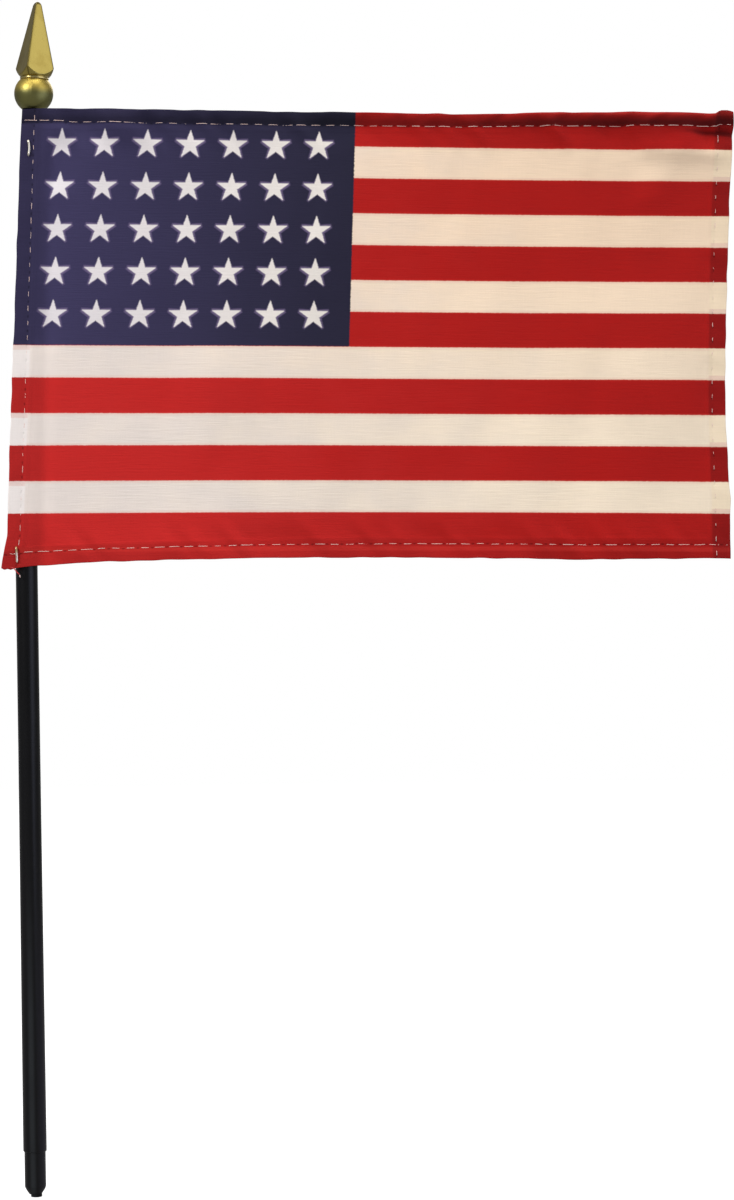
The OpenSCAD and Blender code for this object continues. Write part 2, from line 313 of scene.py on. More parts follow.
def grid_lines(length, step):
    """Positions across the cloth: even, with more of them at the rounded edges and at the hems' folds."""
    even = np.linspace(0, length, int(round(length / step)) + 1)
    fine = np.array(EDGE_LINES)
    lines = np.unique(np.round(np.concatenate([even, fine, length - fine]), 4))
    keep = [0]
    for i in range(1, len(lines)):
        if lines[i] - lines[keep[-1]] > CLOSEST_LINES_MM or lines[i] in fine or lines[i] in length - fine:
            keep.append(i)
    return lines[keep]


# The front and back of the cloth lie one above the other in the texture map
UV_SPAN_MM, UV_MARGIN, UV_BACK_DOWN = 205, 0.01, 0.495


def quads(index):
    """The faces of a grid of vertex numbers."""
    around = [index[:-1, :-1], index[1:, :-1], index[1:, 1:], index[:-1, 1:]]
    return np.stack(around, axis=-1).reshape(-1, 4)


def make_cloth():
    step = 0.62
    a, b = grid_lines(FLY_L, step), grid_lines(HOIST_L, step)
    n, m = len(a), len(b)
    aa, bb = np.meshgrid(a, b, indexing="ij")
    front = cloth_point(aa, bb, -1).reshape(-1, 3)
    back = cloth_point(aa, bb, 1).reshape(-1, 3)
    index = np.arange(n * m).reshape(n, m)
    inner = np.zeros((n, m), bool)
    inner[1:-1, 1:-1] = True
    back_index = index.copy()
    back_index[inner] = n * m + np.arange(inner.sum())
    verts = np.concatenate([front, back[inner.ravel()]])
    front_faces, back_faces = quads(index)[:, ::-1], quads(back_index)
    faces = np.concatenate([front_faces, back_faces])
    cloth = new_object("printed_cloth", verts, faces.tolist())
    add_attribute(cloth, "print", "FLOAT_VECTOR", print_place(verts))
    flat_a = np.concatenate([aa.ravel(), aa[inner]])
    flat_b = np.concatenate([bb.ravel(), bb[inner]])
    add_attribute(cloth, "cut", "FLOAT_VECTOR", np.stack([flat_a, flat_b, np.zeros_like(flat_a)], axis=-1))
    add_attribute(cloth, "back", "FLOAT", np.arange(len(verts)) >= n * m)
    layer = cloth.data.uv_layers.new(name="UVMap")
    corners = faces.ravel()
    uv = np.stack([flat_a[corners] / UV_SPAN_MM + UV_MARGIN,
                   1 - UV_MARGIN - flat_b[corners] / UV_SPAN_MM], axis=-1)
    uv[front_faces.size:, 1] -= UV_BACK_DOWN
    layer.data.foreach_set("uv", uv.astype(np.float32).ravel())
    return cloth


# ---------------------------------------------------------------- sewing thread

THREAD_R_MM = 0.052
PLY_TWIST_MM = 1.25
PLY_DEPTH = 0.34


def wall_faces(rings, sides):
    """The faces between rings of vertices that are numbered ring by ring."""
    faces = []
    for i in range(rings - 1):
        for k in range(sides):
            k2 = (k + 1) % sides
            faces.append((i * sides + k, i * sides + k2, (i + 1) * sides + k2, (i + 1) * sides + k))
    return faces


def tube(name, path, radius, sides=8, twist=None, up=(0.0, 1.0, 0.0)):
    """A closed tube along a path of points. It shows the two plies of a twisted thread if twist is given."""
    path = np.asarray(path)
    tangent = np.gradient(path, axis=0)
    tangent /= np.linalg.norm(tangent, axis=1)[:, None]
    side = np.cross(tangent, np.array(up))
    side /= np.linalg.norm(side, axis=1)[:, None]
    lift = np.cross(side, tangent)
    run = np.concatenate([[0], np.cumsum(np.linalg.norm(np.diff(path, axis=0), axis=1))])
    angle = np.arange(sides) * 2 * math.pi / sides
    r = np.full((len(path), sides), float(radius))
    if twist:
        ply = np.cos(2 * (angle[None, :] - 2 * math.pi * run[:, None] / twist))
        r *= 1 + PLY_DEPTH * ply
    place = np.arange(len(path))
    taper = np.minimum(1, 0.25 + np.minimum(place, place[::-1]) / 3)
    r *= taper[:, None]
    rings = (path[:, None, :] + side[:, None, :] * (np.cos(angle)[None, :] * r)[..., None]
             + lift[:, None, :] * (np.sin(angle)[None, :] * r)[..., None])
    verts = rings.reshape(-1, 3)
    faces = wall_faces(len(path), sides)
    last = (len(path) - 1) * sides
    faces.append(tuple(range(sides))[::-1])
    faces.append(tuple(range(last, last + sides)))
    obj = new_object(name, verts, faces)
    if twist:
        add_attribute(obj, "ply", "FLOAT", ply)
    return obj


def seam_thread(name, seam, side, half_shown, phase=0.0):
    """One thread of a lockstitch seam, on the front face if side is -1 and the back if it is 1.

    seam holds the run in mm where the thread starts and ends, and a function that gives the cloth's (a, b)
    at a run and a small wander to the side. half_shown is half the share of a stitch that lies on the face.
    """
    start, end, place = seam
    seed = len(name)
    run = np.arange(start, end, 0.1)
    wander = 0.05 * noise(run / 2.3, seed + 7)
    a, b = place(run, wander)
    share = ((run - start) / STITCH_PITCH + phase) % 1 - 0.5
    # stitches differ a little in length, and in how high they lie on the cloth
    stitch = np.floor((run - start) / STITCH_PITCH + phase)
    length = half_shown * (1 + 0.3 * noise(stitch * 1.37, seed + 5))
    lift = 0.4 + 0.7 * noise(stitch * 2.13, seed + 9)
    shown = 1 - smooth(np.abs(share), length - 0.09, length + 0.08)
    thick = thickness(a, b)
    middle = cloth_point(a, b, 0)
    face = cloth_point(a, b, side)
    outward = (face - middle) / np.maximum(np.linalg.norm(face - middle, axis=1), 1e-9)[:, None]
    sunk = THREAD_R_MM * 1.8
    depth = (thick / 2 + THREAD_R_MM * lift) * shown + (thick / 2 - sunk) * (1 - shown)
    return tube(name, middle + outward * (depth * MM)[:, None], THREAD_R_MM * MM, twist=PLY_TWIST_MM * MM)


# The top and bottom seams run a little high where they start at the hoist
TOP_SEAM_RISE, TOP_RISE_RUN = 0.6, 16
BOTTOM_SEAM_RISE, BOTTOM_RISE_RUN = 0.3, 40
HOIST_SEAM_START, FLY_SEAM_START = 0.3, 4.6


def on_top_seam(run, wander):
    return run, SEAM_IN + wander - TOP_SEAM_RISE * np.exp(-run / TOP_RISE_RUN)


def on_bottom_seam(run, wander):
    return run, HOIST_L - SEAM_IN + wander - BOTTOM_SEAM_RISE * np.exp(-run / BOTTOM_RISE_RUN)


def on_hoist_seam(run, wander):
    return SEAM_IN + wander, run


def on_fly_seam(run, wander):
    return FLY_L - SEAM_IN + wander, run


SEAMS = {
    "hoist": (HOIST_SEAM_START, HOIST_L - SEAM_END, on_hoist_seam),
    "top": (SEAM_END, FLY_L - SEAM_END, on_top_seam),
    "fly": (FLY_SEAM_START, HOIST_L - SEAM_END, on_fly_seam),
    "bottom": (SEAM_END, FLY_L - SEAM_END, on_bottom_seam),
}
HALF_SHOWN = {"hoist": 0.19, "top": 0.33, "fly": 0.15, "bottom": 0.31}


# ---------------------------------------------------------------- node graphs written as arithmetic

class Value:
    """A number on a shader graph, which plain arithmetic turns into Math nodes."""

    def __init__(self, graph, socket):
        self.graph, self.socket = graph, socket

    def __add__(self, other):
        return self.graph.math("ADD", self, other)

    def __sub__(self, other):
        return self.graph.math("SUBTRACT", self, other)

    def __rsub__(self, other):
        return self.graph.math("SUBTRACT", other, self)

    def __mul__(self, other):
        return self.graph.math("MULTIPLY", self, other)

    def __truediv__(self, other):
        return self.graph.math("DIVIDE", self, other)

    __radd__ = __add__
    __rmul__ = __mul__


def rgb(red, green, blue):
    """A display colour of 0 to 255 as the linear colour that shaders take."""
    shares = (red / 255, green / 255, blue / 255)
    linear = [c / 12.92 if c <= 0.04045 else ((c + 0.055) / 1.055) ** 2.4 for c in shares]
    return (*linear, 1.0)


class Graph:
    """A material whose nodes are made by short calls, ending in one Principled shader."""

    def __init__(self, name, **shader_values):
        self.material = bpy.data.materials.new(name)
        self.material.use_nodes = True
        self.nodes, self.links = self.material.node_tree.nodes, self.material.node_tree.links
        self.shader = self.nodes["Principled BSDF"]
        for key, value in shader_values.items():
            self.shader.inputs[key.replace("_", " ")].default_value = value

    def put(self, socket, value):
        if isinstance(value, Value):
            self.links.new(value.socket, socket)
        elif value is not None:
            socket.default_value = value

    def math(self, operation, *values):
        node = self.nodes.new("ShaderNodeMath")
        node.operation = operation
        for socket, value in zip(node.inputs, values):
            self.put(socket, value)
        return Value(self, node.outputs[0])

    def step(self, value, low, high):
        """0 below low, 1 above high, smooth between; falling if low is above high."""
        node = self.nodes.new("ShaderNodeMapRange")
        node.interpolation_type = "SMOOTHSTEP"
        flip = low > high
        self.put(node.inputs["Value"], value)
        node.inputs["From Min"].default_value = min(low, high)
        node.inputs["From Max"].default_value = max(low, high)
        node.inputs["To Min"].default_value = 1.0 if flip else 0.0
        node.inputs["To Max"].default_value = 0.0 if flip else 1.0
        return Value(self, node.outputs["Result"])

    def attribute(self, name, output="Vector"):
        node = self.nodes.new("ShaderNodeAttribute")
        node.attribute_name = name
        return Value(self, node.outputs[output])

    def object_place(self):
        node = self.nodes.new("ShaderNodeTexCoord")
        return Value(self, node.outputs["Object"])

    def split(self, vector):
        node = self.nodes.new("ShaderNodeSeparateXYZ")
        self.put(node.inputs[0], vector)
        return [Value(self, out) for out in node.outputs]

    def join(self, x, y, z=0.0):
        node = self.nodes.new("ShaderNodeCombineXYZ")
        for socket, value in zip(node.inputs, (x, y, z)):
            self.put(socket, value)
        return Value(self, node.outputs[0])

    def noise(self, place, scale=1.0, detail=2.0, roughness=0.5):
        """Noise between about 0 and 1."""
        node = self.nodes.new("ShaderNodeTexNoise")
        self.put(node.inputs["Vector"], place)
        node.inputs["Scale"].default_value = scale
        node.inputs["Detail"].default_value = detail
        node.inputs["Roughness"].default_value = roughness
        return Value(self, node.outputs["Fac"])

    def mix(self, share, a, b, mode="MIX"):
        node = self.nodes.new("ShaderNodeMix")
        node.data_type, node.blend_type = "RGBA", mode
        self.put(node.inputs[0], share)
        self.put(node.inputs[6], a)
        self.put(node.inputs[7], b)
        return Value(self, node.outputs[2])

    def grey(self, value):
        """A brightness as a colour to multiply by."""
        node = self.nodes.new("ShaderNodeCombineColor")
        for socket in node.inputs[:3]:
            self.put(socket, value)
        return Value(self, node.outputs[0])

    def bump(self, height, strength, distance, under=None):
        node = self.nodes.new("ShaderNodeBump")
        node.inputs["Strength"].default_value = strength
        node.inputs["Distance"].default_value = distance
        self.put(node.inputs["Height"], height)
        if under is not None:
            self.put(node.inputs["Normal"], under)
        return Value(self, node.outputs[0])

    def finish(self, color=None, roughness=None, normal=None):
        self.put(self.shader.inputs["Base Color"], color)
        self.put(self.shader.inputs["Roughness"], roughness)
        self.put(self.shader.inputs["Normal"], normal)
        return self.material


# ---------------------------------------------------------------- the print on the cloth

WHITE_START = 7.26
STRIPE_PITCH = 14.49
WHITE_W = 6.85
WHITE_STRIPES = 6
CANTON_W = 70.25
CANTON_H = 50.65
STAR_COLUMNS, STAR_ROWS = 7, 5
STAR_PITCH = (9.38, 9.19)
FIRST_STAR = (6.12, 7.32)
STAR_R = 3.35
DYE_EDGE = 0.13
RED_NEAR, RED_FAR = rgb(198, 39, 37), rgb(171, 21, 17)
NAVY_NEAR, NAVY_FAR = rgb(62, 57, 92), rgb(38, 36, 56)
WHITE_NEAR = rgb(232, 221, 214)
WHITE_FAR_TOP, WHITE_FAR_LOW = rgb(250, 223, 194), rgb(247, 230, 206)
STAR_NEAR, STAR_FAR = rgb(226, 220, 224), rgb(232, 225, 217)
HEM_WHITE_NEAR, HEM_WHITE_FAR = rgb(242, 236, 234), rgb(250, 230, 198)
FRINGE = rgb(128, 112, 150)
SHOW_THROUGH = rgb(226, 186, 176)
HEM_SHIFT = 1.0
# Distance of the staff's fly side from the hoist edge at the top, and how much more it is at the bottom
STAFF_SIDE_TOP = 4.9
STAFF_SIDE_LEAN = 2.3


def star_distance(g, px, py):
    """How far a place lies outside the nearest star's outline, its radius there and its sideways share."""
    across = []
    for p, first, pitch, count in ((px, FIRST_STAR[0], STAR_PITCH[0], STAR_COLUMNS),
                                   (py, FIRST_STAR[1], STAR_PITCH[1], STAR_ROWS)):
        nearest = g.math("ROUND", (p - first) / pitch)
        nearest = g.math("MINIMUM", g.math("MAXIMUM", nearest, 0.0), float(count - 1))
        across.append(p - (nearest * pitch + first))
    x, y = across[0], across[1] * -1.0
    r = g.math("SQRT", x * x + y * y + 1e-6)
    fifth = 2 * math.pi / 5
    angle = g.math("ABSOLUTE", g.math("WRAP", g.math("ARCTAN2", x, y), fifth / 2, -fifth / 2))
    along, aside = r * g.math("COSINE", angle), r * g.math("SINE", angle)
    distance = (along - STAR_R) * math.sin(math.pi / 10) + aside * math.cos(math.pi / 10)
    return distance, r, g.math("ABSOLUTE", x) / r


def white_stripes(g, y):
    """1 on the white stripes, and how far the stripe's nearer edge is."""
    start = STRIPE_PITCH / 4
    phase = g.math("FLOORED_MODULO", y - (WHITE_START - start), STRIPE_PITCH)
    white = g.step(phase, start - DYE_EDGE, start + DYE_EDGE)
    white = white * g.step(phase, start + WHITE_W + DYE_EDGE, start + WHITE_W - DYE_EDGE)
    last = WHITE_START + WHITE_STRIPES * STRIPE_PITCH - 2
    white = white * g.step(y, last + 0.5, last) * g.step(y, 3.0, 3.5)
    to_upper = g.math("ABSOLUTE", phase - (start + 0.25))
    to_lower = g.math("ABSOLUTE", phase - (start + WHITE_W - 0.25))
    return white, g.math("MINIMUM", to_upper, to_lower)


def cloth_material():
    g = Graph("printed_cloth", Sheen_Weight=0.05, Sheen_Roughness=0.4, Specular_IOR_Level=0.12)
    px, py, _ = g.split(g.attribute("print"))
    cut_a, cut_b, _ = g.split(g.attribute("cut"))
    from_hoist_fly = g.math("MINIMUM", cut_a, FLY_L - cut_a)
    from_top_bottom = g.math("MINIMUM", cut_b, HOIST_L - cut_b)
    side_hem = g.step(from_hoist_fly, HEM_W - 0.5, HEM_W - 1.0)
    fly_side = g.step(cut_a, FLY_L / 2 - 1, FLY_L / 2 + 1)
    top_hem = g.step(cut_b, SEAM_IN + 0.5, SEAM_IN - 0.4)
    bottom_hem = g.step(HOIST_L - cut_b, HEM_W + 0.5, HEM_W - 1.5)
    # yarns: long weft slubs, short warp marks, and a slow mottle of the dye
    slubs = g.noise(g.join(px * 0.16, py * 2.8), 1.0, 3.0, 0.65)
    warp = g.noise(g.join(px * 3.1, py * 0.22, 9.0), 1.0, 2.0, 0.6)
    mottle = g.noise(g.join(px * 0.07, py * 0.09, 5.0), 1.0, 3.0, 0.55)
    # the dye creeps along single yarns, so every printed edge is a little ragged
    ragged = (g.noise(g.join(px * 1.6, py * 1.2), 1.0, 3.0, 0.6) - 0.5) * 0.18
    creep = (g.noise(g.join(px * 0.9, py * 3.0, 4.0), 1.0, 2.0) - 0.5) * 0.4
    x, y = px + creep, py + ragged
    # the colours are paler and cooler at the lower hoist, and darker and warmer towards the fly: partly the
    # dyes' own variation, and partly painted light and shade, lighter on the hoist side and darker towards
    # the fly
    far = g.step(px - py * 0.35 + (mottle - 0.5) * 70.0, -32.0, 112.0)
    white, edge = white_stripes(g, y)
    behind, _ = white_stripes(g, y + (fly_side * (2 * HEM_SHIFT) - HEM_SHIFT))
    # the whites are painted darker and warmer towards the upper fly: painted shade
    white_far = g.mix(g.step(py, 18.0, 78.0), WHITE_FAR_TOP, WHITE_FAR_LOW)
    white_dye = g.mix(far, WHITE_NEAR, white_far)
    stripes = g.mix(white, g.mix(far, RED_NEAR, RED_FAR), white_dye)
    stripes = g.mix(g.step(edge, 0.42, 0.0) * white * 0.28, stripes, rgb(232, 176, 156))
    stripes = g.mix(g.step(edge, 0.75, 0.2) * (1.0 - white) * 0.35, stripes, rgb(222, 56, 48))
    canton = g.step(x, CANTON_W + DYE_EDGE, CANTON_W - DYE_EDGE)
    canton = canton * g.step(y, CANTON_H + DYE_EDGE, CANTON_H - DYE_EDGE)
    distance, r, sideways = star_distance(g, px + creep * 0.6, py + ragged * 0.5)
    star = g.step(g.math("MAXIMUM", distance, (r - STAR_R + 0.22) * 0.8), 0.15, -0.15)
    fringe = g.math("MAXIMUM", distance - sideways * 0.5, (r - STAR_R - 0.15) * 0.8)
    # the navy and the stars darken towards the fly in the same way: partly the dyes, partly painted shade
    canton_far = g.step(px, -8.0, 74.0)
    ground = g.mix(g.step(fringe, 0.16, -0.30) * 0.58, g.mix(canton_far, NAVY_NEAR, NAVY_FAR), FRINGE)
    colour = g.mix(canton, stripes, g.mix(star, ground, g.mix(canton_far, STAR_NEAR, STAR_FAR)))
    # the print is made on the front, and strikes through a little paler
    back = g.attribute("back", "Fac")
    colour = g.mix(back * 0.13, colour, rgb(214, 200, 200))
    # hems: more layers make the white brighter, but let the red of the layer behind show, and deepen the dyes
    whiteness = white * (1.0 - canton)
    dyed = 1.0 - whiteness
    colour = g.mix(side_hem * whiteness * 0.6, colour, g.mix(fly_side, HEM_WHITE_NEAR, HEM_WHITE_FAR))
    colour = g.mix(side_hem * whiteness * (1.0 - behind) * 0.5, colour, SHOW_THROUGH)
    hoist_hem = g.step(cut_a, HEM_W + 0.6, HEM_W - 1.9)
    hems = g.math("MAXIMUM", side_hem * fly_side, hoist_hem)
    colour = g.mix(hems * dyed, colour, g.grey(0.75 - fly_side * 0.05 - canton * 0.13), "MULTIPLY")
    # a darker band on the single layer of dyed cloth along the staff's fly side, where the cloth leaves the
    # staff: painted shade
    staff_side = cut_a - cut_b * (STAFF_SIDE_LEAN / HOIST_L)
    staff_side_shade = g.step(staff_side, STAFF_SIDE_TOP + 2.6, STAFF_SIDE_TOP - 0.8) * (1.0 - side_hem)
    colour = g.mix(staff_side_shade * dyed, colour, g.grey(0.84), "MULTIPLY")
    colour = g.mix(bottom_hem * dyed, colour, g.grey(0.82), "MULTIPLY")
    # the top hem is darker: partly the deeper dye of its doubled layers, and partly painted shade, in patches
    # and in a band just above the seam that deepens towards the fly
    hem_shade_patches = (g.noise(g.join(px * 0.22, py * 0.1, 2.0), 1.0, 3.0, 0.6) - 0.5) * 0.5
    seam_band_shade = g.step(cut_b + hem_shade_patches, 0.5, 2.3) * (0.16 + g.step(cut_a, 60.0, 140.0) * 0.26)
    colour = g.mix(top_hem, colour, g.grey(0.68 + hem_shade_patches * 0.3 - canton * 0.14 - seam_band_shade), "MULTIPLY")
    # painted shade at the deep end of the fold under the top hem, near the fly, which the mesh does not
    # undercut
    fold_b = g.math("MAXIMUM", cut_a - 138.0, 0.0) * 0.1 + 3.3
    deep = g.step(g.math("ABSOLUTE", cut_b - fold_b), 0.9, 0.1) * g.step(cut_a, 139.0, 151.0)
    colour = g.mix(deep, colour, g.grey(0.5), "MULTIPLY")
    # needle holes: a dimple in each gap between two stitches
    holes = None
    for along, across in ((cut_a, from_top_bottom), (cut_b, from_hoist_fly)):
        u = g.math("FLOORED_MODULO", along - SEAM_END, STITCH_PITCH)
        u = g.math("MINIMUM", u, STITCH_PITCH - u) * 0.5
        v = across - SEAM_IN
        hole = g.step(g.math("SQRT", u * u + v * v), 0.26, 0.06)
        holes = hole if holes is None else g.math("MAXIMUM", holes, hole)
    # the needle holes are painted darker, most on the dyed cloth: painted shade in the holes
    colour = g.mix(holes * (0.62 - whiteness * 0.56), colour, g.grey(0.35), "MULTIPLY")
    # darker towards the upper fly corner: painted shade
    upper_fly_shade = g.step(px - py * 0.9, 40.0, 150.0) * 0.11
    tone = 0.85 + slubs * 0.11 + warp * 0.05 + mottle * 0.13 - upper_fly_shade
    colour = g.mix(1.0, colour, g.grey(tone), "MULTIPLY")
    # plain weave, with yarns of uneven thickness
    warp_yarn = g.math("ABSOLUTE", g.math("SINE", (px + (slubs - 0.5) * 1.1) * (math.pi / 0.33)))
    weft_yarn = g.math("ABSOLUTE", g.math("SINE", (py + (warp - 0.5) * 0.9) * (math.pi / 0.29)))
    weave = warp_yarn * 0.4 + weft_yarn * 0.5
    normal = g.bump(slubs * 1.1 + weave * 0.2 - holes * 1.0, 0.55, 0.00012)
    return g.finish(colour, 0.74 + slubs * 0.18, normal)


def thread_material(name, colour, groove_shade):
    g = Graph(name, Sheen_Weight=0.3, Sheen_Roughness=0.5, Specular_IOR_Level=0.3)
    place = g.object_place()
    ply = g.attribute("ply", "Fac")
    fuzz = g.noise(place, 9000.0, 3.0, 0.7)
    shade = g.noise(place, 900.0, 2.0, 0.5)
    # the grooves between the plies are painted darker and pinker: painted shade
    tint = g.mix(g.step(ply + shade * 0.8, -0.5, 0.9), groove_shade, colour)
    tint = g.mix(1.0, tint, g.grey(0.8 + fuzz * 0.35), "MULTIPLY")
    return g.finish(tint, 0.7 + fuzz * 0.25, g.bump(fuzz, 0.6, 0.00005))


# Height of the ball's top, in metres
BALL_TOP_Z = 0.2407


def gold_material():
    g = Graph("metallised_gold", Metallic=1.0)
    place = g.object_place()
    peel = g.noise(place, 320.0, 2.0, 0.5)
    speck = g.noise(place, 2600.0, 3.0, 0.7)
    wear = g.noise(place, 140.0, 4.0, 0.6)
    colour = g.mix(g.step(wear, 0.42, 0.66), rgb(152, 136, 72), rgb(138, 121, 60))
    colour = g.mix(g.step(speck, 0.62, 0.72) * 0.35, colour, rgb(92, 80, 38))
    # darker and duller along the sharp ridges
    ridge = g.attribute("ridge", "Fac")
    colour = g.mix(ridge * 0.85, colour, rgb(62, 52, 26))
    # the ball is rougher; its colour is painted lighter and yellower above, a painted highlight, and darker
    # olive towards the cloth, a painted shade
    z = g.split(place)[2]
    ball_satin_and_light = g.step(z, BALL_TOP_Z + 0.0003, BALL_TOP_Z - 0.0003)
    ball_low_shade = g.step(z + wear * 0.0012, BALL_TOP_Z - 0.0009, BALL_TOP_Z - 0.0030)
    colour = g.mix(ball_satin_and_light * (1.0 - ridge) * 0.9, colour, g.mix(ball_low_shade, rgb(184, 162, 80), rgb(106, 106, 66)))
    # light catches the thin ring between the ball and the spear
    ring = g.step(z, BALL_TOP_Z - 0.0002, BALL_TOP_Z) * g.step(z, BALL_TOP_Z + 0.0005, BALL_TOP_Z + 0.0003)
    colour = g.mix(ring * 0.4, colour, rgb(240, 222, 160))
    roughness = 0.15 + peel * 0.10 + g.step(speck, 0.55, 0.75) * 0.10 + ridge * 0.45 + ball_satin_and_light * 0.24
    normal = g.bump(peel, 0.22, 0.0006, g.bump(speck, 0.12, 0.00006))
    return g.finish(colour, roughness, normal)


def staff_material():
    g = Graph("black_plastic", Specular_IOR_Level=0.2)
    x, y, z = g.split(g.object_place())
    drawn = g.noise(g.join(x * 1600.0, y * 1600.0, z * 40.0), 1.0, 3.0, 0.6)
    cloud = g.noise(g.join(x * 90.0, y * 90.0, z * 60.0), 1.0, 3.0, 0.6)
    scratch = g.step(g.noise(g.join(x * 5200.0, y * 5200.0, z * 160.0), 1.0, 2.0, 0.5), 0.66, 0.74)
    colour = g.mix(cloud, rgb(3, 3, 5), rgb(7, 7, 10))
    # near the foot a paler stripe along the mould line, front and back, and a paler fly side: painted
    # highlights
    near_foot = g.step(z, 0.080, 0.025)
    foot_highlight_line = g.step(x, -0.0012, -0.0004) * g.step(x, 0.0007, -0.0001) * near_foot
    colour = g.mix(foot_highlight_line * (0.45 + cloud * 0.6), colour, rgb(40, 43, 46))
    foot_side_highlight = g.step(x, 0.0006, 0.0021) * near_foot
    colour = g.mix(foot_side_highlight * 0.8, colour, rgb(30, 29, 39))
    roughness = 0.2 + drawn * 0.12 + cloud * 0.10 + scratch * 0.15
    normal = g.bump(drawn, 0.12, 0.00006, g.bump(scratch, 0.1, 0.00002))
    return g.finish(colour, roughness, normal)


def wire_material():
    g = Graph("staple_wire", Metallic=1.0)
    place = g.object_place()
    stain = g.noise(place, 700.0, 3.0, 0.6)
    drawn = g.noise(place, 5200.0, 2.0, 0.6)
    colour = g.mix(g.step(stain, 0.45, 0.65), rgb(226, 220, 206), rgb(176, 150, 104))
    return g.finish(colour, 0.26 + drawn * 0.2, g.bump(drawn, 0.2, 0.00003))


# ---------------------------------------------------------------- hard pieces

# Sizes of the staff and the finial, in mm
STAFF_R = 2.36
SHANK_R = 2.53
SHOULDER_Z = 9.8
NUB_H = 0.6
NUB_SHIFT = 0.2
STRAIGHT_L = 133.6
BEND_R = 1803.03
BEND_ANGLE = math.radians(3.2)
BALL_R, BALL_RISE = 4.2, 3.375
NECK_R, NECK_RISE, NECK_H = 3.125, 6.437, 0.45
SPEAR_L, SPEAR_R, TIP_R, FLARE_H = 16.3, 4.4, 0.8, 1.8
SPEAR_TURN = math.radians(15.5)
RIDGE_SOFTNESS, RIDGE_DARK_MM = 0.008, 0.11
BORE_R, BORE_L = 1.92, 6.1
TENON_R, TENON_L = 1.9, 5.8


def seat_place(points):
    """Points of the finial's own frame, in mm, as points of the row's frame, in metres."""
    seat = Vector((BEND_R * (1 - math.cos(BEND_ANGLE)), 0, STRAIGHT_L + BEND_R * math.sin(BEND_ANGLE)))
    turn = np.array(Matrix.Rotation(BEND_ANGLE, 3, "Y"))
    return (np.asarray(points) @ turn.T + np.array(seat)) * MM


def in_metres(points):
    return points * MM


def rings_mesh(name, rings, place):
    """A closed mesh through rings of points that all have the same count."""
    sides = len(rings[0])
    verts = list(np.concatenate(rings))
    faces = wall_faces(len(rings), sides)
    for at_end, base in ((False, 0), (True, (len(rings) - 1) * sides)):
        centre = len(verts)
        verts.append(np.mean(rings[-1 if at_end else 0], axis=0))
        for k in range(sides):
            k2 = (k + 1) % sides
            faces.append((base + k, base + k2, centre) if at_end else (base + k2, base + k, centre))
    return new_object(name, place(np.array(verts)), faces)


def ring_at(radius, angle, z, x_shift=0.0):
    """A level ring of points, in mm."""
    x, y = radius * np.cos(angle) + x_shift, radius * np.sin(angle)
    return np.stack([x, y, np.full(len(angle), z)], axis=1)


def soft_min(a, b, k):
    """The smaller of a and b, rounded off where they cross."""
    h = np.clip(0.5 + 0.5 * (b - a) / k, 0, 1)
    return b * (1 - h) + a * h - k * h * (1 - h)


def parting_line(angle, sharpness, width, height):
    """How far the mould's parting line, front and back, stands out of a moulding at each angle."""
    return hump(np.abs(np.abs(angle - math.pi) - math.pi / 2) * sharpness, width) * height


def make_finial():
    sides = 144
    # ridges stand at the front, back and sides, turned a little towards the hoist, each on a row of vertices
    angle = (np.arange(sides) * 2 * math.pi / sides - SPEAR_TURN) % (2 * math.pi)
    ridge = angle + math.pi / 2 + SPEAR_TURN
    across, deep = (np.sqrt(f(ridge) ** 2 + RIDGE_SOFTNESS ** 2) for f in (np.cos, np.sin))
    diamond = (1 + RIDGE_SOFTNESS) / (across + deep)
    seam = parting_line(angle, 4, 0.16, 0.035)
    profile = [(BORE_R, BORE_L), (BORE_R, BORE_L / 2), (BORE_R, 0.0), (BORE_R + 0.12, -0.02), (2.46, -0.03)]
    ball_start, ball_end = math.acos(-BALL_RISE / BALL_R) - 0.02, math.acos((NECK_RISE - BALL_RISE) / BALL_R)
    for turn in np.linspace(ball_start, ball_end, 34):
        profile.append((BALL_R * math.sin(turn), BALL_RISE + BALL_R * math.cos(turn)))
    for t in np.linspace(0, 1, 7):
        swell = math.sin(math.pi * t)
        profile.append((NECK_R - 0.23 + 0.20 * swell ** 0.7, NECK_RISE - 0.08 + (NECK_H + 0.08) * t))
    rings = []
    for r, z in profile:
        rings.append(ring_at(r + seam, angle, z))
    base = NECK_RISE + NECK_H
    to_ridge = np.abs((ridge + math.pi / 4) % (math.pi / 2) - math.pi / 4)
    ridge_shade = [np.zeros(sides * len(rings))]
    heights = np.concatenate([np.linspace(0.05, 2.7, 26), np.linspace(2.9, SPEAR_L - 1.0, 24),
                              SPEAR_L - 1.0 + np.sin(np.linspace(0.1, math.pi / 2, 9))])
    for z in heights:
        flat = SPEAR_R + (TIP_R - SPEAR_R) * (z - FLARE_H) / (SPEAR_L - FLARE_H)
        square = flat * diamond
        cone = NECK_R - 0.1 + (SPEAR_R - NECK_R + 0.12) * min(z / FLARE_H, 1) ** 0.85 + max(0, z - FLARE_H)
        r = soft_min(np.full(sides, cone), square, 0.2)
        near_tip = z - (SPEAR_L - 1.0)
        if near_tip > 0:
            r = r * math.sqrt(max(0.0004, 1 - near_tip ** 2.4))
        r = r + seam * 0.6 * (1 - max(0, near_tip))
        ridge_shade.append(np.exp(-r * to_ridge / RIDGE_DARK_MM))
        rings.append(ring_at(r, angle, base + z))
    finial = rings_mesh("spear_finial", rings, seat_place)
    # the two vertices in the middles of the ends come last
    add_attribute(finial, "ridge", "FLOAT", np.concatenate([*ridge_shade, np.zeros(2)]))
    return finial


